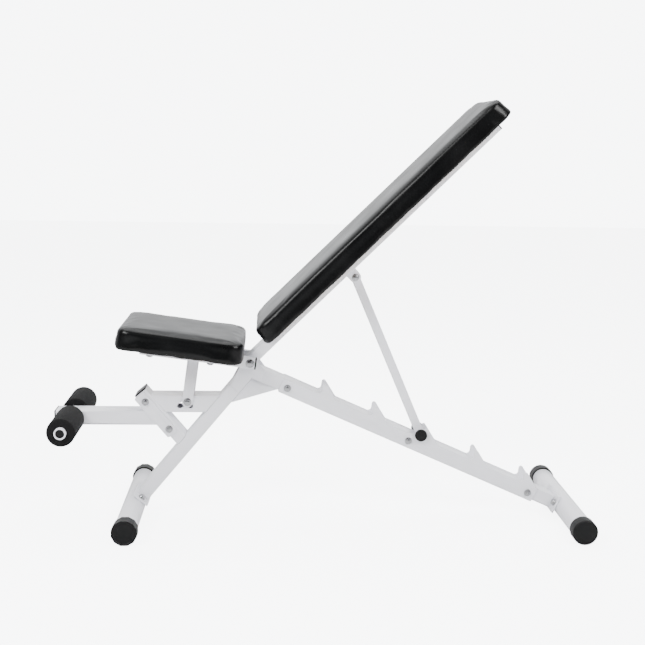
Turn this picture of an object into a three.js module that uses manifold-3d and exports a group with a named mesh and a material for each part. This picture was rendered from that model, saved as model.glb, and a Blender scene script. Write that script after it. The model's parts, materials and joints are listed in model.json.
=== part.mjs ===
// Adjustable weight bench: a flat-laid tube frame on two round feet, a tilting seat, a back rest that a prop
// strut holds in one of five hooks, and a pair of foam leg rollers. Millimetres, +Z up, +X to the rear foot.
import * as THREE from "three";
import { mergeVertices } from "three/addons/utils/BufferGeometryUtils.js";
import Module from "manifold-3d";

const wasm = await Module();
wasm.setup();

// ---- driving dimensions ----
const GAP = 0.3; // between pieces that touch
const WALL = 2; // tube wall
const HALF = 25; // half the width of every frame tube, across the bench
const FOOT_SPACING = 1007;
const FOOT = { tube: 25, cap: 28.5, axisZ: 28, halfWidth: 210, capLength: 30 };
const POST = { angle: 50.5, low: 1.2, high: 31.8, start: 51.4, end: 431 };
const BEAM = { angle: -23.7, low: 411, high: 441, end: 881.3 };
const SHORT = { angle: -49.8, low: 188.4, high: 218.5, start: -213.5 };
const SEAT_BEAM = { low: 249.5, high: 290 };
const ARM = { low: 219.5, high: 252.5, front: -174.5 };
const ROLLER = { x: -140, z: 236, tube: 13.3, bore: 9.8, foam: 31.3, inner: 30.2, outer: 157, tubeEnd: 164 };
const PIVOT = { x: 266.4, z: 370, bolt: 5 };
const EAR = 4; // thickness of the plates on the outside of the frame tubes
const RACK = { start: 181, end: 833, sheet: 3.5, web: 3, top: 441.5, bolts: [198, 505, 816], boltHeight: 424 };
const HOOK = { count: 5, first: 273, pitch: 129.7, valley: 2.6, apex: -6.5, rise: 32.4, foot: 40.9 };
const PIN = { radius: 7, fromTip: -7.3, cap: 14, halfLength: 40 };
const BACK = { angle: 44.6, depth: 25, half: 24.5, before: 15, after: 766, propAt: 304.6, propBelow: 28.4 };
const PROP = { half: 10, ear: 13, beyond: 5 };
const BACK_PAD = { start: 64, end: 795, half: 125, thick: 45, corner: 28 };
const SEAT = { angle: -7.4, depth: 25, inner: 29.8, outer: 49.8, front: -32, rear: 227.3, plug: 3.5 };
const SEAT_PAD = { start: -83, end: 201, half: 128, thick: 43.5, corner: 28 };
const BOARD = { inset: 5, thick: 10 };
const SEAT_LEG = { x: 124, z: 275, half: 12.3, sheet: 3.6 };
const SLOT = { radius: 5.8, left: [-17.8, -10], right: [6.9, -9.7] };
const GUSSET = { postAt: 352.9, inset: 3.2, sheet: 3 };
const CENTRE_X = (FOOT_SPACING + FOOT.cap + ARM.front - 3.5) / 2; // middle of the whole length

// ---- finishes ----
const FINISH = {
  white: { color: 0xe6e7ea, roughness: 0.35, metalness: 0.1 },
  black: { color: 0x1b1b1d, roughness: 0.6, metalness: 0 },
  foam: { color: 0x161618, roughness: 0.95, metalness: 0 },
  vinyl: { color: 0x18181a, roughness: 0.38, metalness: 0 },
  wood: { color: 0xb08a5c, roughness: 0.8, metalness: 0 },
  steel: { color: 0xb4b6b8, roughness: 0.3, metalness: 1 },
};

// ---- side-view geometry ----
// A sloping direction in the side view: at(a, h) is the point a along it and h above the line through the origin.
function slope(degrees) {
  const angle = THREE.MathUtils.degToRad(degrees);
  const [c, s] = [Math.cos(angle), Math.sin(angle)];
  return {
    at: (a, h) => new THREE.Vector2(a * c - h * s, a * s + h * c),
    along: (p) => p.x * c + p.y * s,
    above: (p) => p.y * c - p.x * s,
    angle,
  };
}
const LEVEL = slope(0);
const post = slope(POST.angle);
const beam = slope(BEAM.angle);
const short = slope(SHORT.angle);
const back = slope(BACK.angle);
const seat = slope(SEAT.angle);
const pivot = new THREE.Vector2(PIVOT.x, PIVOT.z);
const legBolt = new THREE.Vector2(SEAT_LEG.x, SEAT_LEG.z);

// Where the line at height h of one slope meets the line at height k of another.
function meet(one, h, other, k) {
  const [p, q] = [one.at(0, h), one.at(1, h)];
  const [a, b] = [other.above(p) - k, other.above(q) - k];
  return p.clone().lerp(q, a / (a - b));
}

const backLow = back.above(pivot) - BACK.depth / 2;
const backHigh = backLow + BACK.depth;
const backStart = back.along(pivot);
const seatLow = seat.above(pivot) - SEAT.depth / 2;
const seatHigh = seatLow + SEAT.depth;
const propTop = back.at(backStart + BACK.propAt, back.above(pivot) - BACK.propBelow);
const restTip = HOOK.first + 2 * HOOK.pitch; // the middle hook
const pin = beam.at(restTip + PIN.fromTip, RACK.top + PIN.radius + 0.5);
const prop = slope(THREE.MathUtils.radToDeg(Math.atan2(pin.y - propTop.y, pin.x - propTop.x)));

// A closed outline whose corners [x, z, radius] are rounded where they have a radius.
function outline(corners) {
  const shape = new THREE.Shape();
  const points = corners.map(([x, z]) => new THREE.Vector2(x, z));
  corners.forEach(([, , radius = 0], i) => {
    const here = points[i];
    const before = points.at(i - 1);
    const after = points[(i + 1) % points.length];
    const add = (p) => (shape.curves.length || i ? shape.lineTo(p.x, p.y) : shape.moveTo(p.x, p.y));
    if (!radius) return add(here);
    const into = before.clone().sub(here).normalize();
    const out = after.clone().sub(here).normalize();
    const half = Math.acos(THREE.MathUtils.clamp(into.dot(out), -1, 1)) / 2;
    const reach = radius / Math.tan(half);
    const centre = here.clone().addScaledVector(into.clone().add(out).normalize(), radius / Math.sin(half));
    const first = here.clone().addScaledVector(into, reach);
    const last = here.clone().addScaledVector(out, reach);
    add(first);
    const clockwise = into.cross(out) > 0;
    shape.absarc(centre.x, centre.y, radius, first.sub(centre).angle(), last.sub(centre).angle(), clockwise);
  });
  shape.closePath();
  return shape;
}

const corner = (p, radius = 0) => [p.x, p.y, radius];

// A box's outline in a slope's own directions, with optional corner radii.
function strip(way, a0, a1, h0, h1, r0 = 0, r1 = 0) {
  return outline([
    corner(way.at(a0, h0), r0),
    corner(way.at(a1, h0), r1),
    corner(way.at(a1, h1), r1),
    corner(way.at(a0, h1), r0),
  ]);
}

function circle(centre, radius) {
  const shape = new THREE.Shape();
  shape.absarc(centre.x, centre.y, radius, 0, 2 * Math.PI);
  return shape;
}

// ---- solids ----
function solid(geometry) {
  const bare = geometry.clone();
  bare.deleteAttribute("normal");
  bare.deleteAttribute("uv");
  const merged = mergeVertices(bare, 1e-4);
  const mesh = new wasm.Mesh({
    numProp: 3,
    vertProperties: merged.attributes.position.array,
    triVerts: new Uint32Array(merged.index.array),
  });
  return new wasm.Manifold(mesh);
}

function geometryOf(made) {
  const mesh = made.getMesh();
  return new THREE.BufferGeometry()
    .setAttribute("position", new THREE.BufferAttribute(mesh.vertProperties, 3))
    .setIndex(new THREE.BufferAttribute(mesh.triVerts, 1));
}

// A side-view outline made solid between two distances across the bench.
function across(shape, y0, y1, segments = 4) {
  const geometry = new THREE.ExtrudeGeometry(shape, { depth: y1 - y0, bevelEnabled: false, curveSegments: segments });
  return solid(geometry.rotateX(Math.PI / 2).translate(0, y1, 0));
}

const round = (centre, radius, y0, y1, segments = 8) => across(circle(centre, radius), y0, y1, segments);
const joined = (solids) => solids.reduce((sum, next) => sum.add(next));
const bored = (piece, centre, radius) => piece.subtract(round(centre, radius, -300, 300));

// A rod, screw or bolt of stepped radii [radius, length] laid end to end along +Z, as one turned solid.
function turned(steps, segments = 16) {
  const profile = [new THREE.Vector2(0, 0)];
  let z = 0;
  for (const [radius, length] of steps) {
    profile.push(new THREE.Vector2(radius, z));
    z += length;
    profile.push(new THREE.Vector2(radius, z));
  }
  profile.push(new THREE.Vector2(0, z));
  return new THREE.LatheGeometry(profile, segments).rotateX(Math.PI / 2);
}

// A bolt across the bench: washer and hex head on the near side, washer and hex nut on the far side.
function crossBolt(centre, halfGrip, radius = 4) {
  const shank = round(centre, radius, -halfGrip - 1, halfGrip + 1, 5);
  const ends = [-1, 1].flatMap((side) => {
    const reach = (from, length) => [side * from, side * (from + length)].sort((a, b) => a - b);
    const washer = round(centre, radius * 2.1, ...reach(halfGrip, 1.5), 6);
    const hex = across(circle(centre, radius * 1.75), ...reach(halfGrip + 1, 5), 3);
    return [washer, hex];
  });
  return joined([shank, ...ends]);
}

// A straight frame tube in the side view, open at both ends, whose outline may be mitred.
function boxTube(way, low, high, start, end, half = HALF) {
  const side = (h, k) => [corner(start(h)), corner(end(h)), corner(end(k)), corner(start(k))];
  const outer = across(outline(side(low, high)), -half, half);
  const reach = 60;
  const push = (p, by) => way.at(way.along(p) + by, way.above(p));
  const inside = [
    corner(push(start(low + WALL), -reach)),
    corner(push(end(low + WALL), reach)),
    corner(push(end(high - WALL), reach)),
    corner(push(start(high - WALL), -reach)),
  ];
  return outer.subtract(across(outline(inside), -half + WALL, half - WALL));
}
const square = (way, a) => (h) => way.at(a, h);

const bench = new THREE.Group();
const body = new THREE.Group();
body.position.x = -CENTRE_X;
bench.add(body);

function place(name, made, finish) {
  const geometry = made.isBufferGeometry ? made : geometryOf(made);
  const mesh = new THREE.Mesh(geometry, new THREE.MeshStandardMaterial(FINISH[finish]));
  mesh.name = name;
  body.add(mesh);
  return mesh;
}

const SIDES = [
  ["near", -1],
  ["far", 1],
];
// Two distances from the middle, on one side of the bench, in rising order.
const between = (side, a, b) => [side * a, side * b].sort((p, q) => p - q);

// ---- feet ----
const footCentre = { front: new THREE.Vector2(0, FOOT.axisZ), rear: new THREE.Vector2(FOOT_SPACING, FOOT.axisZ) };
const FLANGE = { thick: 4, half: 50, boltAt: 38, boltRadius: 4 };

function footTube(foot) {
  const reach = FOOT.halfWidth - 4 - GAP;
  const { centre } = foot;
  const shell = round(centre, FOOT.tube, -reach, reach, 14).subtract(round(centre, FOOT.tube - WALL, -300, 300, 14));
  return drilledForFlange(shell, foot);
}

// The two flange bolts run along the sloping tube, so their holes do too.
function alongBolt(way, start, height, y, steps, segments) {
  const at = way.at(start, height);
  const made = turned(steps, segments).rotateY(Math.PI / 2 - way.angle).translate(at.x, y, at.y);
  return made;
}

// The holes go through the flange and the near wall of the foot tube, as far as the tube's middle.
function drilledForFlange(piece, { way, centre, height, direction }) {
  const middle = way.along(centre);
  const start = direction > 0 ? middle - 2 * FOOT.tube : middle;
  return SIDES.reduce((left, [, side]) => {
    const steps = [[FLANGE.boltRadius + 0.5, 2 * FOOT.tube]];
    return left.subtract(solid(alongBolt(way, start, height, side * FLANGE.boltAt, steps, 10)));
  }, piece);
}

// The front foot's caps are twelve-sided, and a flat of each rests on the floor.
function frontCap(side) {
  const flats = new THREE.Shape();
  const radius = FOOT.axisZ / Math.cos(Math.PI / 12);
  for (let i = 0; i < 12; i++) {
    const angle = ((i + 0.5) * Math.PI) / 6;
    const [x, z] = [radius * Math.sin(angle), FOOT.axisZ + radius * Math.cos(angle)];
    if (i) flats.lineTo(x, z);
    else flats.moveTo(x, z);
  }
  flats.closePath();
  return hollowCap(across(flats, ...between(side, FOOT.halfWidth - FOOT.capLength, FOOT.halfWidth)), "front", side);
}

// The rear foot's caps are round, with a flat cut where they rest on the floor.
function rearCap(side) {
  const drum = round(footCentre.rear, FOOT.cap, ...between(side, FOOT.halfWidth - FOOT.capLength, FOOT.halfWidth), 14);
  const floor = across(strip(LEVEL, FOOT_SPACING - 50, FOOT_SPACING + 50, -20, 0), -300, 300);
  return hollowCap(drum.subtract(floor), "rear", side);
}

function hollowCap(drum, end, side) {
  const socket = round(footCentre[end], FOOT.tube + GAP, ...between(side, 0, FOOT.halfWidth - 4), 14);
  return drum.subtract(socket);
}

// Each flange lies between a sloping tube and a foot; direction is the way along the slope to the foot.
function footJoint(way, centre, top, direction) {
  return { way, centre, top, direction, height: way.above(centre) };
}
const postFoot = footJoint(post, footCentre.front, POST.start - GAP, -1);
const beamFoot = footJoint(beam, footCentre.rear, BEAM.end + GAP, 1);

function flange(foot, low, high) {
  const far = foot.top + foot.direction * FLANGE.thick;
  const plate = across(strip(foot.way, Math.min(foot.top, far), Math.max(foot.top, far), low, high), -FLANGE.half, FLANGE.half);
  return drilledForFlange(plate, foot);
}

// Head on the sloping tube's side of the flange, shank through the flange and the near wall of the foot tube.
function flangeBolt(foot, side) {
  const steps = [
    [7, 5],
    [8.5, 1.5],
    [FLANGE.boltRadius, 18],
  ];
  const at = foot.way.at(foot.top - foot.direction * (6.5 + GAP), foot.height);
  const turn = foot.direction > 0 ? Math.PI / 2 : -Math.PI / 2;
  return turned(steps, 12).rotateY(turn - foot.way.angle).translate(at.x, side * FLANGE.boltAt, at.y);
}

place("front_foot_tube", footTube(postFoot), "white");
place("rear_foot_tube", footTube(beamFoot), "white");
place("front_foot_flange", flange(postFoot, -3, 38), "white");
place("rear_foot_flange", flange(beamFoot, 408, 450), "white");
for (const [name, side] of SIDES) {
  place(`front_foot_cap_${name}`, frontCap(side), "black");
  place(`rear_foot_cap_${name}`, rearCap(side), "black");
  place(`front_foot_bolt_${name}`, flangeBolt(postFoot, side), "steel");
  place(`rear_foot_bolt_${name}`, flangeBolt(beamFoot, side), "steel");
}

// ---- frame tubes ----
function frontPost() {
  return boxTube(post, POST.low, POST.high, square(post, POST.start), square(post, POST.end));
}

// The beam's upper end is mitred to the back of the post.
function rearBeam() {
  const mitre = (h) => meet(beam, h, post, POST.low - GAP);
  return RACK.bolts.reduce(
    (left, at) => bored(left, beam.at(at, RACK.boltHeight), 4.5),
    boxTube(beam, BEAM.low, BEAM.high, mitre, square(beam, BEAM.end)),
  );
}

// Both ends of the level beam under the seat are mitred to the tubes that carry it.
function seatBeam() {
  const left = (h) => meet(LEVEL, h, short, SHORT.high + GAP);
  const right = (h) => meet(LEVEL, h, post, POST.high + GAP);
  const tube = boxTube(LEVEL, SEAT_BEAM.low, SEAT_BEAM.high, left, right);
  return tube.subtract(slotBranch(SLOT.left)).subtract(slotBranch(SLOT.right));
}

// One branch of the inverted-V slot: a round-ended way from the bolt's seat to a lobe.
function slotBranch([dx, dz]) {
  const branch = slope(THREE.MathUtils.radToDeg(Math.atan2(dz, dx)));
  const [a, h] = [branch.along(legBolt), branch.above(legBolt)];
  const length = Math.hypot(dx, dz);
  const lane = across(strip(branch, a, a + length, h - SLOT.radius, h + SLOT.radius), -60, 60);
  return joined([lane, round(legBolt, SLOT.radius, -60, 60), round(branch.at(a + length, h), SLOT.radius, -60, 60)]);
}

// The short strut leans from the roller bracket down to the front of the post.
const armBoltHeight = SHORT.low + 11;
const ARM_BOLTS = { upper: -191.4, lower: -108.5 };

function shortStrut() {
  const foot = (h) => meet(short, h, post, POST.high + GAP);
  const tube = boxTube(short, SHORT.low, SHORT.high, square(short, SHORT.start), foot);
  return withArmBolts(tube);
}

const withArmBolts = (piece) =>
  Object.values(ARM_BOLTS).reduce((left, at) => bored(left, short.at(at, armBoltHeight), 4.5), piece);

// An end plug: a rim that covers the tube's end, and a tongue inside it.
function endPlug(way, end, low, high, y0, y1, outward, rim = 3.5, depth = 12) {
  const order = (a, b) => (a < b ? [a, b] : [b, a]);
  const inset = WALL + GAP;
  const cover = across(strip(way, ...order(end + outward * GAP, end + outward * rim), low, high), y0, y1);
  const reach = order(end + outward, end - outward * depth);
  const tongue = across(strip(way, ...reach, low + inset, high - inset), y0 + inset, y1 - inset);
  return cover.add(tongue);
}

// A U of sheet round the front of the short strut, with its ends rounded.
function rollerBracket() {
  const [low, high, start, end] = [SHORT.low - GAP - EAR, 212, -212, -93.5];
  const wrap = across(strip(short, start, end, low, high, 3, 5), -HALF - GAP - EAR, HALF + GAP + EAR);
  const inside = across(strip(short, start - 50, end + 50, SHORT.low - GAP, high + 50), -HALF - GAP, HALF + GAP);
  return withArmBolts(wrap.subtract(inside));
}

function rollerArm() {
  const mitre = (h) => meet(LEVEL, h, short, SHORT.low - 2 * GAP - EAR);
  const tube = boxTube(LEVEL, ARM.low, ARM.high, square(LEVEL, ARM.front), mitre);
  return bored(tube, new THREE.Vector2(ROLLER.x, ROLLER.z), ROLLER.tube + GAP);
}

// A folded sheet that fills the corner between the post and the beam, set in from their side faces.
function gusset() {
  const { inset, sheet } = GUSSET;
  const top = meet(post, POST.low - 2 * GAP, beam, BEAM.low - GAP);
  const onPost = post.at(GUSSET.postAt, POST.low - 2 * GAP);
  const onBeam = beam.at(RACK.start - 2, BEAM.low - GAP);
  const lip = new THREE.Vector2(0, -sheet * 1.2);
  const web = across(outline([corner(top), corner(onBeam), corner(onPost)].reverse()), inset - HALF, HALF - inset);
  const shrink = (p) => corner(p.clone().sub(lip));
  const room = outline([corner(top.clone().setY(500)), corner(new THREE.Vector2(500, 500)), shrink(onBeam), shrink(onPost)].reverse());
  return web.subtract(across(room, inset + sheet - HALF, HALF - inset - sheet));
}

// A plate on each side of the frame carries the main pivot above the crossing of post and beam.
function pivotEar(side) {
  const inner = meet(post, POST.low + 2, beam, BEAM.low + 2);
  const postEnd = 385;
  const beamEnd = 135;
  const reach = between(side, HALF + GAP, HALF + GAP + EAR);
  const crotch = outline([
    corner(post.at(postEnd, POST.high - 2), 4),
    corner(post.at(postEnd, POST.low + 2), 4),
    corner(inner),
    corner(beam.at(beamEnd, BEAM.low + 2), 4),
    corner(beam.at(beamEnd, BEAM.high - 2), 4),
    corner(pivot.clone().add(new THREE.Vector2(14, 5)), 8),
    corner(pivot.clone().add(new THREE.Vector2(-14, 5)), 8),
  ]);
  const made = across(crotch, ...reach).add(round(pivot, 15, ...reach));
  return bored(made, pivot, PIVOT.bolt + 0.4);
}

place("front_post", frontPost(), "white");
place("rear_beam", rearBeam(), "white");
place("seat_beam", seatBeam(), "white");
place("short_strut", shortStrut(), "white");
place("short_strut_plug", endPlug(short, SHORT.start, SHORT.low, SHORT.high, -HALF, HALF, -1), "black");
place("roller_bracket", rollerBracket(), "white");
place("roller_arm", rollerArm(), "white");
place("roller_arm_plug", endPlug(LEVEL, ARM.front, ARM.low, ARM.high, -HALF, HALF, -1), "black");
place("corner_gusset", gusset(), "white");
for (const [name, side] of SIDES) place(`pivot_ear_${name}`, pivotEar(side), "white");
for (const [name, at] of Object.entries(ARM_BOLTS)) {
  place(`bracket_bolt_${name}`, crossBolt(short.at(at, armBoltHeight), HALF + 2 * GAP + EAR), "steel");
}

// ---- rack ----
// The rack is a channel round the lower side of the beam; each of its walls carries the same row of hooks.
function rackChannel() {
  const half = HALF + GAP + RACK.sheet;
  const floor = BEAM.low - GAP - RACK.web;
  const corners = [corner(beam.at(RACK.start, floor), 3), corner(beam.at(RACK.end, floor), 3)];
  corners.push(corner(beam.at(RACK.end, RACK.top), 4));
  for (let i = HOOK.count - 1; i >= 0; i--) {
    const tip = HOOK.first + i * HOOK.pitch;
    const isLast = tip + HOOK.foot > RACK.end - 6;
    if (!isLast) corners.push(corner(beam.at(tip + HOOK.foot, RACK.top), 3));
    corners.push(corner(beam.at(tip + HOOK.apex, RACK.top + HOOK.rise), 5));
    corners.push(corner(beam.at(tip + HOOK.valley, RACK.top), PIN.radius + 0.6));
  }
  corners.push(corner(beam.at(RACK.start, RACK.top), 4));
  const wall = across(outline(corners), -half, half, 4);
  const inside = across(strip(beam, 0, 1200, BEAM.low - GAP, 700), -HALF - GAP, HALF + GAP);
  return RACK.bolts.reduce((left, at) => bored(left, beam.at(at, RACK.boltHeight), 4.5), wall.subtract(inside));
}

place("rack_channel", rackChannel(), "white");
RACK.bolts.forEach((at, i) => {
  const grip = HALF + 2 * GAP + RACK.sheet;
  place(`rack_bolt_${i + 1}`, crossBolt(beam.at(at, RACK.boltHeight), grip), "steel");
});

// ---- leg rollers ----
const rollerCentre = new THREE.Vector2(ROLLER.x, ROLLER.z);
const tubeBore = round(rollerCentre, ROLLER.bore, -300, 300, 10);
const rollerTube = round(rollerCentre, ROLLER.tube, -ROLLER.tubeEnd, ROLLER.tubeEnd, 10).subtract(tubeBore);
place("roller_tube", rollerTube, "white");
for (const [name, side] of SIDES) {
  const plug = round(rollerCentre, ROLLER.bore - GAP, ...between(side, ROLLER.tubeEnd - 14, ROLLER.tubeEnd - 1), 10);
  place(`roller_tube_plug_${name}`, plug, "black");
  const foam = round(rollerCentre, ROLLER.foam, ...between(side, ROLLER.inner, ROLLER.outer), 12);
  place(`foam_roller_${name}`, bored(foam, rollerCentre, ROLLER.tube + 0.5), "foam");
}

// ---- pads ----
// A pad or board lies in the plane of its slope: its plan outline is given by length and half width.
function slab(way, start, end, half, base, thick, radius) {
  const plan = outline([
    [start, -half, radius],
    [end, -half, radius],
    [end, half, radius],
    [start, half, radius],
  ]);
  const geometry = new THREE.ExtrudeGeometry(plan, { depth: thick, bevelEnabled: false, curveSegments: 5 });
  const at = way.at(0, base);
  return solid(geometry.rotateY(-way.angle).translate(at.x, 0, at.y));
}

function pad(way, size, offset, base) {
  const [start, end] = [offset + size.start, offset + size.end];
  const inset = BOARD.inset - GAP;
  const whole = slab(way, start, end, size.half, base, size.thick, size.corner);
  const pocket = [start + inset, end - inset, size.half - inset, base - 5, BOARD.thick + 5 + GAP, size.corner];
  return whole.subtract(slab(way, ...pocket));
}

function board(way, size, offset, base) {
  const [start, end] = [offset + size.start + BOARD.inset, offset + size.end - BOARD.inset];
  return slab(way, start, end, size.half - BOARD.inset, base, BOARD.thick, size.corner);
}

// A screw driven along the normal of a slope: head below the face at height h, shank above it.
const SCREW = { head: 8, headHeight: 4.5, shank: 3 };
function screw(way, a, h, y, length) {
  const at = way.at(a, h - SCREW.headHeight);
  const steps = [
    [SCREW.head * 0.7, 1.5],
    [SCREW.head, SCREW.headHeight - 1.5],
    [SCREW.shank, length],
  ];
  return turned(steps, 10).rotateY(-way.angle).translate(at.x, y, at.y);
}

function screwHole(way, a, h, y, length, radius) {
  const at = way.at(a, h);
  return solid(turned([[radius, length]], 10).rotateY(-way.angle).translate(at.x, y, at.y));
}

// ---- seat ----
const SEAT_SCREWS = { at: [-9.7, 127.5], y: (SEAT.inner + SEAT.outer) / 2 };
const seatBase = seatHigh + GAP;

function seatRail(side) {
  const [y0, y1] = between(side, SEAT.inner, SEAT.outer);
  const outer = across(strip(seat, SEAT.front, SEAT.rear, seatLow, seatHigh), y0, y1);
  const hollow = across(strip(seat, SEAT.front - 5, SEAT.rear + 5, seatLow + WALL, seatHigh - WALL), y0 + WALL, y1 - WALL);
  const rail = bored(outer.subtract(hollow), pivot, PIVOT.bolt + 0.4);
  return SEAT_SCREWS.at.reduce(
    (left, a) => left.subtract(screwHole(seat, a, seatLow - 20, side * SEAT_SCREWS.y, 60, SCREW.shank + 0.5)),
    rail,
  );
}

// The seat's leg is a U of flat bar: a web under the seat, and a bar down each side of the level beam.
function seatLeg() {
  const middle = seat.along(legBolt);
  const top = seatHigh - 1;
  const [inner, outer] = [HALF + 0.8, HALF + 0.8 + SEAT_LEG.sheet];
  const bolt = seat.above(legBolt);
  const bar = across(strip(seat, middle - SEAT_LEG.half, middle + SEAT_LEG.half, bolt, top), -outer, outer);
  const whole = bar.add(round(legBolt, SEAT_LEG.half, -outer, outer));
  const room = across(strip(seat, middle - 50, middle + 50, bolt - 50, top - SEAT_LEG.sheet), -inner, inner);
  return bored(whole.subtract(room), legBolt, 5.4);
}

function seatBoard() {
  return SIDES.reduce(
    (left, [, side]) =>
      SEAT_SCREWS.at.reduce(
        (rest, a) => rest.subtract(screwHole(seat, a, seatBase - 5, side * SEAT_SCREWS.y, 13, SCREW.shank + 0.4)),
        left,
      ),
    board(seat, SEAT_PAD, 0, seatBase),
  );
}

place("seat_pad", pad(seat, SEAT_PAD, 0, seatBase), "vinyl");
place("seat_board", seatBoard(), "wood");
place("seat_leg", seatLeg(), "white");
place("seat_leg_bolt", crossBolt(legBolt, HALF + 0.8 + SEAT_LEG.sheet + GAP, 4.5), "steel");
for (const [name, side] of SIDES) {
  const [y0, y1] = between(side, SEAT.inner, SEAT.outer);
  place(`seat_rail_${name}`, seatRail(side), "white");
  place(`seat_rail_plug_${name}`, endPlug(seat, SEAT.rear, seatLow, seatHigh, y0, y1, 1, SEAT.plug, 4), "black");
  SEAT_SCREWS.at.forEach((a, i) => {
    const made = screw(seat, a, seatLow - GAP, side * SEAT_SCREWS.y, SEAT.depth + 6);
    place(`seat_screw_${name}_${i + 1}`, made, "steel");
  });
}

// ---- back rest ----
const BACK_SCREWS = [190, 610];
const backBase = backHigh + GAP;

// The tube is drilled for the pivot, and for screws that are reached through holes in its lower wall.
function backTube() {
  const [start, end] = [backStart - BACK.before, backStart + BACK.after];
  const tube = boxTube(back, backLow, backHigh, square(back, start), square(back, end), BACK.half);
  return BACK_SCREWS.reduce((left, at) => {
    const access = screwHole(back, backStart + at, backLow - 5, 0, 10, 9);
    const shank = screwHole(back, backStart + at, backHigh - 5, 0, 10, SCREW.shank + 0.5);
    return left.subtract(access).subtract(shank);
  }, bored(tube, pivot, PIVOT.bolt + 0.4));
}

// The U bracket under the back tube holds the top of the prop strut.
function propBracket() {
  const [at, height] = [back.along(propTop), back.above(propTop)];
  const [inner, outer] = [PROP.half + 0.6, PROP.half + 0.6 + EAR];
  const block = across(strip(back, at - PROP.ear, at + PROP.ear, height, backLow - GAP), -outer, outer);
  const whole = block.add(round(propTop, PROP.ear, -outer, outer));
  const room = across(strip(back, at - 50, at + 50, height - 50, backLow - GAP - EAR), -inner, inner);
  return bored(whole.subtract(room), propTop, 4.5);
}

function backBoard() {
  const made = board(back, BACK_PAD, backStart, backBase);
  return BACK_SCREWS.reduce(
    (left, at) => left.subtract(screwHole(back, backStart + at, backBase - 5, 0, 13, SCREW.shank + 0.4)),
    made,
  );
}

place("back_tube", backTube(), "white");
place("back_pad", pad(back, BACK_PAD, backStart, backBase), "vinyl");
place("back_board", backBoard(), "wood");
place("prop_bracket", propBracket(), "white");
place("prop_bolt", crossBolt(propTop, PROP.half + 0.6 + EAR + GAP), "steel");
for (const [name, end, outward] of [
  ["lower", backStart - BACK.before, -1],
  ["upper", backStart + BACK.after, 1],
]) {
  const plug = endPlug(back, end, backLow, backHigh, -BACK.half, BACK.half, outward, 3, 8);
  place(`back_tube_plug_${name}`, plug, "black");
}
BACK_SCREWS.forEach((at, i) => {
  place(`back_screw_${i + 1}`, screw(back, backStart + at, backHigh - WALL - GAP, 0, 8), "steel");
});

// ---- prop strut ----
// The strut's lower end is coped to the cross pin that drops into the hooks.
function propStrut() {
  const [start, end] = [prop.along(propTop) - PROP.beyond, prop.along(pin)];
  const height = prop.above(pin);
  const tube = boxTube(prop, height - PROP.half, height + PROP.half, square(prop, start), square(prop, end), PROP.half);
  return bored(bored(tube, propTop, 4.5), pin, PIN.radius + GAP);
}

place("prop_strut", propStrut(), "white");
place("hook_pin", round(pin, PIN.radius, -PIN.halfLength + 4.3, PIN.halfLength - 4.3, 10), "steel");
for (const [name, side] of SIDES) {
  const knob = round(pin, PIN.cap, ...between(side, 30, PIN.halfLength), 10);
  const socket = round(pin, PIN.radius + GAP, ...between(side, 0, PIN.halfLength - 4), 10);
  place(`hook_pin_cap_${name}`, knob.subtract(socket), "black");
}
place("main_pivot_bolt", crossBolt(pivot, SEAT.outer + GAP, PIVOT.bolt - 0.2), "steel");

export default bench;
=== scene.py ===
"""The looks of the adjustable weight bench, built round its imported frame. Lengths are in metres."""
import json
import math

import bmesh
import bpy
from mathutils import Matrix, Vector

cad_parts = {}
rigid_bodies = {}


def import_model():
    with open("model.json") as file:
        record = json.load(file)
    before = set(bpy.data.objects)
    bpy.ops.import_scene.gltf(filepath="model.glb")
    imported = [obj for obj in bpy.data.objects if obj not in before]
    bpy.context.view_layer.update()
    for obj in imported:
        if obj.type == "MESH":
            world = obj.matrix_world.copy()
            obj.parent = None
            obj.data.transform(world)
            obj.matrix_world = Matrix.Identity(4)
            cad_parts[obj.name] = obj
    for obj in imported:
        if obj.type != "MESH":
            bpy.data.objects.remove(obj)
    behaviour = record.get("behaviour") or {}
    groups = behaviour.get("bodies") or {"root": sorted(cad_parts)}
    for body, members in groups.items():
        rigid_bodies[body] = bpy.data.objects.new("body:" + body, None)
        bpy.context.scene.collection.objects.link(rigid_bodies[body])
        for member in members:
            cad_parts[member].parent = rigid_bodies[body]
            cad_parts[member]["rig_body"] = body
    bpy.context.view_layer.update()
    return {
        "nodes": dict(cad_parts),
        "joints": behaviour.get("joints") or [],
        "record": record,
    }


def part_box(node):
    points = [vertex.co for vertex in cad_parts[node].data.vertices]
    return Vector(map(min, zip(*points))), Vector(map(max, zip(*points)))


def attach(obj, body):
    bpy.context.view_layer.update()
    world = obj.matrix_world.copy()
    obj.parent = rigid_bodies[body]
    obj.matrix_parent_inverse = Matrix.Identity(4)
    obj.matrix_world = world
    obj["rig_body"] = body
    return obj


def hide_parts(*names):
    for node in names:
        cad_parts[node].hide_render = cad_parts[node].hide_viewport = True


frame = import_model()
MM = 0.001

# ---- the bench's own slopes, in degrees above level toward the rear foot ----
SLOPES = {"front_post": 50.5, "rear_beam": -23.7, "short_strut": -49.8, "back": 44.6, "seat": -7.4}


def joint_place(name):
    return Vector(next(joint["pos_m"] for joint in frame["joints"] if joint["name"] == name))


def middle(node):
    low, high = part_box(node)
    return (low + high) / 2


PIN = middle("hook_pin")
PROP_TOP = joint_place("prop_swing")
SLOPES["prop"] = math.degrees(math.atan2(PIN.z - PROP_TOP.z, PIN.x - PROP_TOP.x))


def body_of(node):
    return frame["nodes"][node]["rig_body"]


def direction(degrees):
    return Vector((math.cos(math.radians(degrees)), 0, math.sin(math.radians(degrees))))


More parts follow.
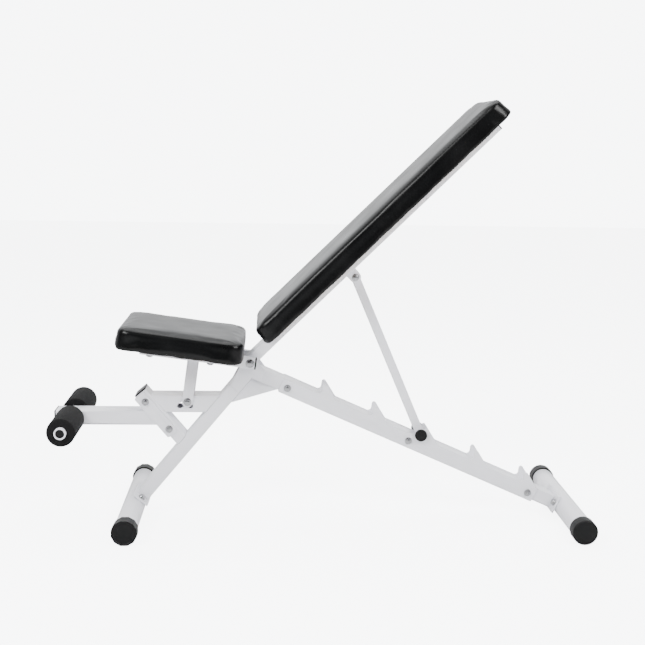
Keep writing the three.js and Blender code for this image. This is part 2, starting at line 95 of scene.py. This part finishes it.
# ---- camera, floor and light ----
def set_camera():
    """A long lens at chest height, a little to the front of the bench's middle, looking down at it."""
    yaw, pitch, roll = 0.04971, 0.16928, 0.01670
    forward = Vector((math.sin(yaw) * math.cos(pitch), math.cos(yaw) * math.cos(pitch), -math.sin(pitch)))
    level = Vector((math.cos(yaw), -math.sin(yaw), 0))
    upright = level.cross(forward)
    right = math.cos(roll) * level + math.sin(roll) * upright
    up = math.cos(roll) * upright - math.sin(roll) * level
    turn = Matrix((right, up, -forward)).transposed()
    bpy.ops.object.camera_add()
    camera = bpy.context.object
    camera.name = "camera"
    camera.matrix_world = Matrix.Translation((-0.1212, -2.478, 0.8808)) @ turn.to_4x4()
    camera.data.sensor_width = 36
    camera.data.lens = 61.32
    bpy.context.scene.camera = camera


def set_floor():
    bpy.ops.mesh.primitive_plane_add(size=14, location=(0, 1.5, 0))
    floor = bpy.context.object
    floor.name = "studio_floor"
    paint = bpy.data.materials.new("studio_floor")
    paint.use_nodes = True
    shader = paint.node_tree.nodes["Principled BSDF"]
    shader.inputs["Base Color"].default_value = (0.8, 0.8, 0.805, 1)
    shader.inputs["Roughness"].default_value = 0.9
    shader.inputs["Specular IOR Level"].default_value = 0.1
    shader.inputs["Emission Color"].default_value = (0.97, 0.985, 1, 1)
    seen = paint.node_tree.nodes.new("ShaderNodeLightPath")
    glow = paint.node_tree.nodes.new("ShaderNodeMath")
    glow.operation = "MULTIPLY"
    glow.inputs[1].default_value = 6.5
    paint.node_tree.links.new(seen.outputs["Is Camera Ray"], glow.inputs[0])
    paint.node_tree.links.new(glow.outputs["Value"], shader.inputs["Emission Strength"])
    floor.data.materials.append(paint)


def area_light(name, place, aim, size, power):
    bpy.ops.object.light_add(type="AREA", location=place)
    lamp = bpy.context.object
    lamp.name = name
    lamp.data.shape = "RECTANGLE"
    lamp.data.size, lamp.data.size_y = size
    lamp.data.energy = power
    lamp.rotation_euler = (Vector(aim) - Vector(place)).to_track_quat("-Z", "Y").to_euler()


def set_lights():
    """A bright sweep behind the bench, dimness behind the viewer, and three soft boxes above."""
    world = bpy.data.worlds.new("studio")
    bpy.context.scene.world = world
    world.use_nodes = True
    tree = world.node_tree
    sky = tree.nodes["Background"]
    sky.inputs["Color"].default_value = (0.97, 0.985, 1, 1)
    coordinates = tree.nodes.new("ShaderNodeTexCoord")
    split = tree.nodes.new("ShaderNodeSeparateXYZ")
    sweep = tree.nodes.new("ShaderNodeMapRange")
    for label, value in (("From Min", -0.1), ("From Max", 0.85), ("To Min", 0.06), ("To Max", 2.1)):
        sweep.inputs[label].default_value = value
    seen = tree.nodes.new("ShaderNodeLightPath")
    choose = tree.nodes.new("ShaderNodeMix")
    choose.inputs["B"].default_value = 8.0
    tree.links.new(coordinates.outputs["Generated"], split.inputs["Vector"])
    tree.links.new(split.outputs["Y"], sweep.inputs["Value"])
    tree.links.new(seen.outputs["Is Camera Ray"], choose.inputs["Factor"])
    tree.links.new(sweep.outputs["Result"], choose.inputs["A"])
    tree.links.new(choose.outputs["Result"], sky.inputs["Strength"])
    area_light("overhead_softbox", (0.1, 0.4, 3.0), (0, 0, 0.3), (3.0, 2.0), 84)
    area_light("left_softbox", (-2.4, -2.6, 2.9), (0, 0, 0.3), (1.6, 1.6), 185)
    area_light("right_softbox", (2.2, -2.7, 2.7), (0.1, 0, 0.4), (1.6, 1.6), 155)


# ---- shared node groups ----
def new_group(name, inputs, outputs):
    group = bpy.data.node_groups.new(name, "ShaderNodeTree")
    for label, value in inputs.items():
        socket = group.interface.new_socket(label, in_out="INPUT", socket_type="NodeSocketFloat")
        socket.default_value = value
    for label in outputs:
        group.interface.new_socket(label, in_out="OUTPUT", socket_type="NodeSocketFloat")
    return group, group.nodes.new("NodeGroupInput"), group.nodes.new("NodeGroupOutput")


def noise(tree, scale, detail=2.0, roughness=0.5):
    """A noise on object coordinates; scale is a number of features per metre or a socket."""
    place = tree.nodes.new("ShaderNodeTexCoord")
    texture = tree.nodes.new("ShaderNodeTexNoise")
    texture.inputs["Detail"].default_value = detail
    texture.inputs["Roughness"].default_value = roughness
    tree.links.new(place.outputs["Object"], texture.inputs["Vector"])
    if isinstance(scale, (int, float)):
        texture.inputs["Scale"].default_value = scale
    else:
        tree.links.new(scale, texture.inputs["Scale"])
    return texture.outputs["Fac"]


def remap(tree, value, low, high, to_low, to_high):
    node = tree.nodes.new("ShaderNodeMapRange")
    node.clamp = True
    for label, item in (("From Min", low), ("From Max", high), ("To Min", to_low), ("To Max", to_high)):
        if isinstance(item, (int, float)):
            node.inputs[label].default_value = item
        else:
            tree.links.new(item, node.inputs[label])
    tree.links.new(value, node.inputs["Value"])
    return node.outputs["Result"]


def math_node(tree, operation, a, b):
    node = tree.nodes.new("ShaderNodeMath")
    node.operation = operation
    for socket, item in zip(node.inputs, (a, b)):
        if isinstance(item, (int, float)):
            socket.default_value = item
        else:
            tree.links.new(item, socket)
    return node.outputs["Value"]


def make_blotch_group():
    """Slow handling marks: a mask from 0 to 1, and a roughness that wanders about the given middle."""
    inputs = {"Size": 14, "Middle": 0.4, "Swing": 0.06}
    group, source, sink = new_group("handling_marks", inputs, ["Mask", "Roughness"])
    cloud = noise(group, source.outputs["Size"], 1.2, 0.35)
    mask = remap(group, cloud, 0.2, 0.8, 0.0, 1.0)
    low = math_node(group, "SUBTRACT", source.outputs["Middle"], source.outputs["Swing"])
    high = math_node(group, "ADD", source.outputs["Middle"], source.outputs["Swing"])
    group.links.new(mask, sink.inputs["Mask"])
    group.links.new(remap(group, mask, 0.0, 1.0, low, high), sink.inputs["Roughness"])
    return group


def make_grain_group():
    """Pebbled grain: rounded cells with fine noise in them, as a height."""
    group, source, sink = new_group("pebble_grain", {"Cells": 700, "Fine": 2400}, ["Height"])
    place = group.nodes.new("ShaderNodeTexCoord")
    cells = group.nodes.new("ShaderNodeTexVoronoi")
    cells.feature = "SMOOTH_F1"
    group.links.new(place.outputs["Object"], cells.inputs["Vector"])
    group.links.new(source.outputs["Cells"], cells.inputs["Scale"])
    fine = noise(group, source.outputs["Fine"], 2, 0.5)
    pits = math_node(group, "MULTIPLY", cells.outputs["Distance"], -1.0)
    grit = math_node(group, "MULTIPLY", fine, 0.35)
    group.links.new(math_node(group, "ADD", pits, grit), sink.inputs["Height"])
    return group


BLOTCH = make_blotch_group()
GRAIN = make_grain_group()


# ---- materials ----
def new_material(name):
    material = bpy.data.materials.new(name)
    material.use_nodes = True
    return material, material.node_tree, material.node_tree.nodes["Principled BSDF"]


def add_group(tree, group, **values):
    node = tree.nodes.new("ShaderNodeGroup")
    node.node_tree = group
    for label, value in values.items():
        node.inputs[label].default_value = value
    return node


def tint(tree, shader, mask, dark, light):
    mix = tree.nodes.new("ShaderNodeMix")
    mix.data_type = "RGBA"
    mix.inputs["A"].default_value = (*dark, 1)
    mix.inputs["B"].default_value = (*light, 1)
    tree.links.new(mask, mix.inputs["Factor"])
    tree.links.new(mix.outputs["Result"], shader.inputs["Base Color"])


def bump(tree, shader, height, distance, strength=1.0, under=None):
    node = tree.nodes.new("ShaderNodeBump")
    node.inputs["Strength"].default_value = strength
    node.inputs["Distance"].default_value = distance
    tree.links.new(height, node.inputs["Height"])
    if under:
        tree.links.new(under, node.inputs["Normal"])
    tree.links.new(node.outputs["Normal"], shader.inputs["Normal"])
    return node.outputs["Normal"]


def enamel_material():
    """White gloss powder coat with a faint orange peel and a little handling dulness."""
    material, tree, shader = new_material("white_enamel")
    marks = add_group(tree, BLOTCH, Size=9, Middle=0.33, Swing=0.05)
    tint(tree, shader, marks.outputs["Mask"], (0.845, 0.848, 0.895), (0.868, 0.87, 0.915))
    tree.links.new(marks.outputs["Roughness"], shader.inputs["Roughness"])
    shader.inputs["Coat Weight"].default_value = 0.25
    shader.inputs["Coat Roughness"].default_value = 0.12
    peel = bump(tree, shader, noise(tree, 420, 1.5), 0.00012, 0.55)
    bump(tree, shader, noise(tree, 60, 1), 0.0004, 0.25, peel)
    return material


def vinyl_material():
    """Black upholstery vinyl: pebbled grain over slow creases, with a soft sheen."""
    material, tree, shader = new_material("black_vinyl")
    marks = add_group(tree, BLOTCH, Size=16, Middle=0.31, Swing=0.05)
    tint(tree, shader, marks.outputs["Mask"], (0.0012, 0.0012, 0.0014), (0.0022, 0.0022, 0.0025))
    tree.links.new(marks.outputs["Roughness"], shader.inputs["Roughness"])
    shader.inputs["Specular IOR Level"].default_value = 0.22
    creases = bump(tree, shader, noise(tree, 24, 2, 0.45), 0.0009, 0.22)
    grain = add_group(tree, GRAIN, Cells=620, Fine=2200)
    bump(tree, shader, grain.outputs["Height"], 0.00012, 0.16, creases)
    return material


def foam_material():
    """Closed-cell foam: matte, with open pores at the skin."""
    material, tree, shader = new_material("black_foam")
    marks = add_group(tree, BLOTCH, Size=40, Middle=0.92, Swing=0.04)
    tint(tree, shader, marks.outputs["Mask"], (0.0024, 0.0024, 0.0026), (0.0062, 0.0062, 0.0066))
    tree.links.new(marks.outputs["Roughness"], shader.inputs["Roughness"])
    shader.inputs["Specular IOR Level"].default_value = 0.25
    grain = add_group(tree, GRAIN, Cells=520, Fine=1800)
    bump(tree, shader, grain.outputs["Height"], 0.0005, 0.8)
    return material


def moulded_material(name, middle_roughness):
    """Injection-moulded plastic or rubber with a fine spark texture."""
    material, tree, shader = new_material(name)
    marks = add_group(tree, BLOTCH, Size=30, Middle=middle_roughness, Swing=0.07)
    tint(tree, shader, marks.outputs["Mask"], (0.0014, 0.0014, 0.0016), (0.003, 0.003, 0.0034))
    tree.links.new(marks.outputs["Roughness"], shader.inputs["Roughness"])
    shader.inputs["Specular IOR Level"].default_value = 0.22
    bump(tree, shader, noise(tree, 1500, 2), 0.00012, 0.7)
    return material


def zinc_material():
    """Bright zinc plate: cool, slightly cloudy metal."""
    material, tree, shader = new_material("bright_zinc")
    marks = add_group(tree, BLOTCH, Size=160, Middle=0.28, Swing=0.08)
    tint(tree, shader, marks.outputs["Mask"], (0.3, 0.305, 0.32), (0.46, 0.46, 0.47))
    tree.links.new(marks.outputs["Roughness"], shader.inputs["Roughness"])
    shader.inputs["Metallic"].default_value = 1
    bump(tree, shader, noise(tree, 900, 2), 0.00006, 0.5)
    return material


def plywood_material():
    """Raw board with long grain along the bench."""
    material, tree, shader = new_material("raw_board")
    place = tree.nodes.new("ShaderNodeTexCoord")
    stretch = tree.nodes.new("ShaderNodeMapping")
    stretch.inputs["Scale"].default_value = (6, 120, 60)
    streaks = tree.nodes.new("ShaderNodeTexNoise")
    streaks.inputs["Scale"].default_value = 1
    streaks.inputs["Detail"].default_value = 6
    tree.links.new(place.outputs["Object"], stretch.inputs["Vector"])
    tree.links.new(stretch.outputs["Vector"], streaks.inputs["Vector"])
    tint(tree, shader, streaks.outputs["Fac"], (0.33, 0.21, 0.11), (0.58, 0.42, 0.25))
    shader.inputs["Roughness"].default_value = 0.8
    bump(tree, shader, streaks.outputs["Fac"], 0.0004, 0.6)
    return material


FINISHES = {
    "white_enamel": enamel_material(),
    "vinyl": vinyl_material(),
    "foam_rubber": foam_material(),
    "foot_rubber": moulded_material("foot_rubber", 0.5),
    "black_plastic": moulded_material("black_plastic", 0.42),
    "plywood": plywood_material(),
    "zinc_steel": zinc_material(),
}
SLOT_OF = {part["node"]: part["material_slot"] for part in frame["record"]["subparts"]}


def dress_frame():
    """Every node of the frame gets its slot's finish; the pieces made below replace most of them."""
    for name, node in frame["nodes"].items():
        node.data.materials.clear()
        node.data.materials.append(FINISHES[SLOT_OF[name]])


# ---- modelling helpers ----
def only(piece):
    bpy.ops.object.select_all(action="DESELECT")
    piece.select_set(True)
    bpy.context.view_layer.objects.active = piece


def edit(piece, mode="EDGE"):
    """Opens the piece in edit mode with nothing selected, and returns its edit mesh."""
    only(piece)
    bpy.ops.object.mode_set(mode="EDIT")
    bpy.ops.mesh.select_mode(type=mode)
    bpy.ops.mesh.select_all(action="DESELECT")
    return bmesh.from_edit_mesh(piece.data)


def pick(piece, elements, test):
    """Selects the elements that pass the test, in the open edit mesh."""
    for element in elements:
        element.select_set(test(element))
    bmesh.update_edit_mesh(piece.data)


def close(piece):
    bpy.ops.object.mode_set(mode="OBJECT")


def settle(piece):
    """Puts the piece's place into its mesh."""
    only(piece)
    bpy.ops.object.transform_apply(location=True, rotation=True, scale=True)


def joined(pieces):
    """The pieces as one object, which keeps the first one's name."""
    bpy.ops.object.select_all(action="DESELECT")
    for piece in pieces:
        piece.select_set(True)
    bpy.context.view_layer.objects.active = pieces[0]
    bpy.ops.object.join()
    return bpy.context.object


def cross_drum(vertices, radius, depth, place, turn=0):
    """A solid drum lying across the bench, turned about its own axis."""
    bpy.ops.mesh.primitive_cylinder_add(
        vertices=vertices, radius=radius, depth=depth, location=place, rotation=(math.pi / 2, turn, 0))
    piece = bpy.context.object
    settle(piece)
    return piece


def smooth(piece, degrees=32):
    only(piece)
    bpy.ops.object.shade_smooth_by_angle(angle=math.radians(degrees))


def apply(piece, kind, **settings):
    only(piece)
    modifier = piece.modifiers.new(kind.lower(), kind)
    for key, value in settings.items():
        setattr(modifier, key, value)
    bpy.ops.object.modifier_apply(modifier=modifier.name)


def finish(piece, name, *nodes, body=None, slot=None):
    """Names the piece, gives it its finish and body, and lets it stand for its nodes."""
    piece.name = name
    piece.data.name = name
    slot = slot or SLOT_OF[nodes[0]]
    piece.data.materials.clear()
    piece.data.materials.append(FINISHES[slot])
    for face in piece.data.polygons:
        face.material_index = 0
    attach(piece, body or body_of(nodes[0]))
    if nodes:
        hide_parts(*nodes)
    return piece


def copy_of(node):
    """A copy of a frame node, with its loose triangles merged into flat faces."""
    piece = bpy.data.objects.new(node + "_copy", frame["nodes"][node].data.copy())
    bpy.context.scene.collection.objects.link(piece)
    edit(piece, "VERT")
    bpy.ops.mesh.select_all(action="SELECT")
    bpy.ops.mesh.remove_doubles(threshold=0.00002)
    bpy.ops.mesh.dissolve_limited(angle_limit=math.radians(1.5), delimit=set())
    close(piece)
    return piece


# ---- tubes and sheet parts ----
def rounded_tube(node, degrees, radius=3.2 * MM):
    """A box tube whose four long outer edges are rolled to a radius."""
    piece = copy_of(node)
    low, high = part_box(node)
    along = direction(degrees)
    mesh = edit(piece)

    def is_long_outer(edge):
        one, two = (vertex.co for vertex in edge.verts)
        run = two - one
        is_along = run.length > 5 * MM and abs(run.normalized().dot(along)) > 0.9995
        is_outside = all(min(abs(p.y - low.y), abs(p.y - high.y)) < 0.1 * MM for p in (one, two))
        bends = len(edge.link_faces) == 2 and edge.calc_face_angle(0) > 0.8
        return is_along and is_outside and bends

    pick(piece, mesh.edges, is_long_outer)
    bpy.ops.mesh.bevel(offset=radius, segments=4, affect="EDGES", clamp_overlap=False)
    close(piece)
    smooth(piece)
    return finish(piece, node + "_tube", node)


def softened(node, width=0.7 * MM):
    """A sheet or moulded part whose sharp edges are broken."""
    piece = copy_of(node)
    apply(piece, "BEVEL", width=width, segments=2, limit_method="ANGLE", angle_limit=math.radians(42))
    smooth(piece, 40)
    return finish(piece, node + "_piece", node)


def round_tube(node, radius, wall, y0, y1, name, vertices=64):
    """A round tube across the bench, open at both ends."""
    centre = middle(node)
    piece = cross_drum(vertices, radius, y1 - y0, (centre.x, (y0 + y1) / 2, centre.z))
    mesh = edit(piece, "FACE")
    pick(piece, mesh.faces, lambda face: abs(face.normal.y) > 0.9)
    bpy.ops.mesh.delete(type="FACE")
    close(piece)
    apply(piece, "SOLIDIFY", thickness=wall, offset=-1)
    apply(piece, "BEVEL", width=0.7 * MM, segments=2, limit_method="ANGLE", angle_limit=math.radians(50))
    smooth(piece)
    return finish(piece, name, node)


# ---- bolts and screws ----
WASHER_TO_SHANK, HEX_TO_SHANK, DOME_TO_SHANK = 2.15, 1.75, 1.25
HEX_HEIGHT, WASHER_HEIGHT, TIP_ROOM = 4.2 * MM, 1.4 * MM, 1.4 * MM
ROUND_SIDES = 28


def turned_part(steps, place, tilt):
    """A stack of drums (radius, depth, bevel width, sides) along a tilted axis, joined into one piece."""
    drums = []
    z = 0.0
    for radius, depth, bevel_width, sides in steps:
        bpy.ops.mesh.primitive_cylinder_add(vertices=sides, radius=radius, depth=depth, location=(0, 0, z + depth / 2))
        drum = bpy.context.object
        settle(drum)
        apply(drum, "BEVEL", width=bevel_width, segments=2, limit_method="ANGLE", angle_limit=math.radians(50))
        drums.append(drum)
        z += depth
    piece = joined(drums)
    piece.matrix_world = Matrix.Translation(place) @ tilt
    settle(piece)
    smooth(piece)
    return piece


def cross_bolt(node):
    """Washer and domed hex head on the near side; washer, hex nut and a little thread on the far side."""
    low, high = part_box(node)
    centre = (low + high) / 2
    washer = (high.x - low.x) / 2
    shank = washer / WASHER_TO_SHANK
    ends = (
        (-1, low.y, "head", (shank * DOME_TO_SHANK, 1.2 * MM, 0.5 * MM, ROUND_SIDES), (node,)),
        (1, high.y, "nut", (shank, 1.6 * MM, 0.2 * MM, ROUND_SIDES), ()),
    )
    for side, end, label, tip, nodes in ends:
        start = end - side * (HEX_HEIGHT + WASHER_HEIGHT + TIP_ROOM)
        steps = [(washer, WASHER_HEIGHT, 0.3 * MM, ROUND_SIDES), (shank * HEX_TO_SHANK, HEX_HEIGHT, 0.9 * MM, 6), tip]
        tilt = Matrix.Rotation(math.radians(-90 * side), 4, "X")
        piece = turned_part(steps, (centre.x, start, centre.z), tilt)
        finish(piece, f"{node}_{label}", *nodes, body=body_of(node), slot="zinc_steel")


# ---- feet and rollers ----
def front_cap(side):
    """A twelve-sided cap with a chamfered rim and a shallow round panel in its end."""
    node = f"front_foot_cap_{side}"
    low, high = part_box(node)
    centre = (low + high) / 2
    sign = 1 if side == "far" else -1
    radius = centre.z / math.cos(math.pi / 12)
    piece = cross_drum(12, radius, high.y - low.y, centre, math.pi / 12)
    mesh = edit(piece, "FACE")
    pick(piece, mesh.faces, lambda face: face.normal.y * sign > 0.9)
    bpy.ops.mesh.inset(thickness=4 * MM, depth=0)
    bpy.ops.mesh.inset(thickness=1.2 * MM, depth=-1.6 * MM)
    close(piece)
    apply(piece, "BEVEL", width=2.6 * MM, segments=2, limit_method="ANGLE", angle_limit=math.radians(50))
    smooth(piece, 22)
    return finish(piece, f"front_cap_{side}", node)


def rear_cap(side):
    """A round cap with a domed rim, flat where it stands on the floor."""
    node = f"rear_foot_cap_{side}"
    low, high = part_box(node)
    centre = (low + high) / 2
    sign = 1 if side == "far" else -1
    radius = (high.x - low.x) / 2
    piece = cross_drum(72, radius, high.y - low.y, (centre.x, centre.y, high.z - radius))
    mesh = edit(piece, "FACE")
    pick(piece, mesh.faces, lambda face: face.normal.y * sign > 0.9)
    bpy.ops.mesh.bevel(offset=4 * MM, segments=4, affect="EDGES")
    close(piece)
    for vertex in piece.data.vertices:
        vertex.co.z = max(vertex.co.z, 0.0)
    smooth(piece, 30)
    return finish(piece, f"rear_cap_{side}", node)


ROLLER_BORE = 12.9 * MM


def foam_roller(side):
    """A foam sleeve with soft rims, gripping the roller tube."""
    node = f"foam_roller_{side}"
    low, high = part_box(node)
    centre = (low + high) / 2
    radius = (high.x - low.x) / 2
    piece = cross_drum(96, radius, high.y - low.y, centre)
    mesh = edit(piece, "FACE")
    pick(piece, mesh.faces, lambda face: abs(face.normal.y) > 0.9)
    bpy.ops.mesh.inset(thickness=radius - ROLLER_BORE, depth=0)
    bpy.ops.mesh.inset(thickness=0.15 * MM, depth=-3 * MM)
    close(piece)
    mesh = edit(piece)

    def on_rim(edge):
        distances = [math.hypot(v.co.x - centre.x, v.co.z - centre.z) for v in edge.verts]
        return min(distances) > radius - 0.2 * MM and abs(edge.verts[0].co.y - edge.verts[1].co.y) < 1e-6

    pick(piece, mesh.edges, on_rim)
    bpy.ops.mesh.bevel(offset=4.5 * MM, segments=5, affect="EDGES")
    close(piece)
    smooth(piece, 50)
    return finish(piece, f"foam_sleeve_{side}", node)


def pin_cap(side):
    """A black knob cap with a rounded rim on each end of the cross pin."""
    node = f"hook_pin_cap_{side}"
    low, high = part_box(node)
    centre = (low + high) / 2
    piece = cross_drum(48, (high.x - low.x) / 2, high.y - low.y, centre)
    apply(piece, "BEVEL", width=2.6 * MM, segments=4, limit_method="ANGLE", angle_limit=math.radians(50))
    smooth(piece, 50)
    return finish(piece, f"pin_knob_{side}", node)


# ---- pads ----
def pad_blank(length, width, thick, corner_radius):
    """The foam block before it is stuffed: rounded plan corners, a soft top edge, a tighter lower one."""
    bpy.ops.mesh.primitive_cube_add(size=1, location=(0, 0, thick / 2))
    piece = bpy.context.object
    piece.scale = (length, width, thick)
    settle(piece)
    mesh = edit(piece)
    pick(piece, mesh.edges, lambda e: abs(e.verts[0].co.z - e.verts[1].co.z) > thick / 2)
    bpy.ops.mesh.bevel(offset=corner_radius, segments=8, affect="EDGES")
    close(piece)
    for level, radius in ((thick, 9 * MM), (0, 4 * MM)):
        mesh = edit(piece)
        pick(piece, mesh.edges, lambda e: all(abs(v.co.z - level) < 0.1 * MM for v in e.verts))
        bpy.ops.mesh.bevel(offset=radius, segments=4, affect="EDGES")
        close(piece)
    return piece


def stuffed(piece, thick, most):
    """The cover is blown up by its filling for twenty frames; no point moves further than the limit."""
    start = [vertex.co.copy() for vertex in piece.data.vertices]
    held = piece.vertex_groups.new(name="stapled")
    held.add([v.index for v in piece.data.vertices if v.co.z < thick * 0.16], 1.0, "REPLACE")
    only(piece)
    cloth = piece.modifiers.new("cover", "CLOTH")
    cloth.settings.use_pressure = True
    cloth.settings.uniform_pressure_force = 4
    cloth.settings.effector_weights.gravity = 0
    cloth.settings.vertex_group_mass = "stapled"
    cloth.settings.quality = 6
    cloth.point_cache.frame_start, cloth.point_cache.frame_end = 1, 20
    scene = bpy.context.scene
    for step in range(1, 21):
        scene.frame_set(step)
    bpy.ops.object.modifier_apply(modifier=cloth.name)
    scene.frame_set(1)
    for vertex, home in zip(piece.data.vertices, start):
        move = vertex.co - home
        if move.length > most:
            vertex.co = home + move * (most / move.length)


def crown(point, length, width, thick, rise):
    """How far the top of a pad stands up toward its middle."""
    along = 1 - (2 * point.x / length) ** 4
    across = 1 - (2 * point.y / width) ** 2
    return rise * max(along, 0) * max(across, 0) * max(0.0, point.z / thick) ** 2


def gathers(point, thick):
    """Puckers where the cover is pulled under the board: strongest low on the sides, gone near the top."""
    lower = max(0.0, 1 - point.z / (thick * 0.6)) ** 1.4
    along = math.sin(point.x * 190 + 2.2 * math.sin(point.x * 37)) + 0.5 * math.sin(point.x * 70 + 1.3)
    across = 0.6 * math.sin(point.y * 240 + 1.7 * math.sin(point.y * 53))
    depth = 0.4 * MM
    return depth * lower * (along + across)


def ease(value, low, high):
    share = min(max((value - low) / (high - low), 0.0), 1.0)
    return share * share * (3 - 2 * share)


def rim_drop(point, width, thick, drop):
    """How far the stapled rim hangs below the board along the two long sides, in shallow scallops."""
    side = ease(abs(point.y), width / 2 - 34 * MM, width / 2 - 9 * MM)
    scallop = 1 + 0.1 * math.sin(point.x * 74 + 0.8 * math.sin(point.x * 19)) + 0.05 * math.sin(point.x * 171 + 1)
    return drop * side * scallop * (1 - ease(point.z, thick * 0.1, thick * 0.75))


def cushion(node, name, degrees, body, rise, drop):
    """One padded piece in the plane of its slope, filling its node's place."""
    solid_part = frame["nodes"][node]
    turn = Matrix.Rotation(math.radians(-degrees), 4, "Y")
    local = [turn.inverted() @ vertex.co for vertex in solid_part.data.vertices]
    low = Vector(min(p[i] for p in local) for i in range(3))
    high = Vector(max(p[i] for p in local) for i in range(3))
    length, width, thick = high - low
    overfill = 1 * MM
    piece = pad_blank(length + overfill, width + overfill, thick - rise, 28 * MM)
    # The block is remeshed a little askew, so the new grid's rows don't follow its faces.
    askew = Matrix.Rotation(0.04, 4, (0.7, 0.5, 0.3))
    piece.matrix_world = askew
    settle(piece)
    apply(piece, "REMESH", mode="VOXEL", voxel_size=4.5 * MM)
    piece.matrix_world = askew.inverted()
    settle(piece)
    stuffed(piece, thick, 3 * MM)
    apply(piece, "SMOOTH", factor=0.5, iterations=5)
    apply(piece, "SUBSURF", levels=1, render_levels=1)
    for vertex in piece.data.vertices:
        point = vertex.co.copy()
        vertex.co.z = min(max(point.z + crown(point, length, width, thick, rise), 0.0), thick + 2 * MM)
        vertex.co.z -= rim_drop(point, width, thick, drop)
        outward = Vector((point.x / length * 2, point.y / width * 2, 0))
        if outward.length > 0.7:
            vertex.co += outward.normalized() * gathers(point, thick)
        vertex.co.x = min(vertex.co.x, length / 2 - 0.8 * MM)
    piece.matrix_world = turn @ Matrix.Translation(((low.x + high.x) / 2, 0, low.z))
    settle(piece)
    only(piece)
    bpy.ops.object.shade_smooth()
    finish(piece, name, node, body=body)
    return turn, low, high


def backing(node, name, body, turn, low, high):
    """The raw board seen inside the stapled rim, and the staples round it."""
    inset = 17 * MM
    size = Vector((high.x - low.x - 2 * inset, high.y - low.y - 2 * inset, 1.4 * MM))
    place = turn @ Matrix.Translation(((low.x + high.x) / 2, 0, low.z))
    bpy.ops.mesh.primitive_cube_add(size=1, location=(0, 0, size.z / 2 - 0.12 * MM))
    piece = bpy.context.object
    piece.scale = size
    settle(piece)
    mesh = edit(piece)
    pick(piece, mesh.edges, lambda e: abs(e.verts[0].co.z - e.verts[1].co.z) > size.z / 2)
    bpy.ops.mesh.bevel(offset=16 * MM, segments=6, affect="EDGES")
    close(piece)
    piece.matrix_world = place
    settle(piece)
    smooth(piece)
    finish(piece, name, node, body=body)
    staples = []
    crown_length, wire_width, wire_height = 10 * MM, 1.1 * MM, 0.5 * MM
    spacing, rim, corner_gap = 38 * MM, 7 * MM, 36 * MM
    for is_long_side, run, reach in ((True, size.x, size.y), (False, size.y, size.x)):
        count = int(run / spacing)
        run -= corner_gap
        reach = reach / 2 + rim
        for side in (-1, 1):
            for i in range(count):
                at = -run / 2 + run * i / max(count - 1, 1)
                spot = (at, side * reach, 0) if is_long_side else (side * reach, at, 0)
                bpy.ops.mesh.primitive_cube_add(size=1, location=spot)
                wire = bpy.context.object
                if is_long_side:
                    wire.scale = (crown_length, wire_width, wire_height)
                else:
                    wire.scale = (wire_width, crown_length, wire_height)
                settle(wire)
                apply(wire, "BEVEL", width=0.2 * MM, segments=1)
                staples.append(wire)
    ring = joined(staples)
    ring.matrix_world = place
    settle(ring)
    finish(ring, name + "_staples", body=body, slot="zinc_steel")


# ---- the bench ----
set_camera()
set_floor()
set_lights()
dress_frame()

for tube, slope in (("front_post", "front_post"), ("rear_beam", "rear_beam"), ("short_strut", "short_strut"),
                    ("back_tube", "back"), ("seat_rail_near", "seat"), ("seat_rail_far", "seat")):
    rounded_tube(tube, SLOPES[slope])
for tube in ("seat_beam", "roller_arm"):
    rounded_tube(tube, 0)
rounded_tube("prop_strut", SLOPES["prop"], 2.2 * MM)

for part in ("rack_channel", "corner_gusset", "pivot_ear_near", "pivot_ear_far", "roller_bracket",
             "front_foot_flange", "rear_foot_flange", "seat_leg", "prop_bracket"):
    softened(part)
for part in ("front_foot_bolt_near", "front_foot_bolt_far", "rear_foot_bolt_near", "rear_foot_bolt_far",
             "back_screw_1", "back_screw_2", "seat_screw_near_1", "seat_screw_near_2", "seat_screw_far_1",
             "seat_screw_far_2"):
    softened(part, 0.5 * MM)
for part in ("short_strut_plug", "roller_arm_plug", "back_tube_plug_lower", "back_tube_plug_upper",
             "seat_rail_plug_near", "seat_rail_plug_far"):
    softened(part, 1.1 * MM)

for end in ("front", "rear"):
    low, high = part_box(f"{end}_foot_tube")
    round_tube(f"{end}_foot_tube", (high.x - low.x) / 2, 2 * MM, low.y, high.y, f"{end}_foot_round")
low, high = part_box("roller_tube")
round_tube("roller_tube", (high.x - low.x) / 2, 3.5 * MM, low.y, high.y, "roller_axle_tube", 48)
low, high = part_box("hook_pin")
round_tube("hook_pin", (high.x - low.x) / 2, 6 * MM, low.y, high.y, "cross_pin", 40)

for side in ("near", "far"):
    front_cap(side)
    rear_cap(side)
    foam_roller(side)
    pin_cap(side)

for bolt in ("main_pivot_bolt", "seat_leg_bolt", "prop_bolt", "rack_bolt_1", "rack_bolt_2", "rack_bolt_3",
             "bracket_bolt_upper", "bracket_bolt_lower"):
    cross_bolt(bolt)

seat_place = cushion("seat_pad", "seat_cushion", SLOPES["seat"], "seat", 2.5 * MM, 7 * MM)
back_place = cushion("back_pad", "back_cushion", SLOPES["back"], "back", 2.5 * MM, 3 * MM)
backing("seat_board", "seat_backing", "seat", *seat_place)
backing("back_board", "back_backing", "back", *back_place)
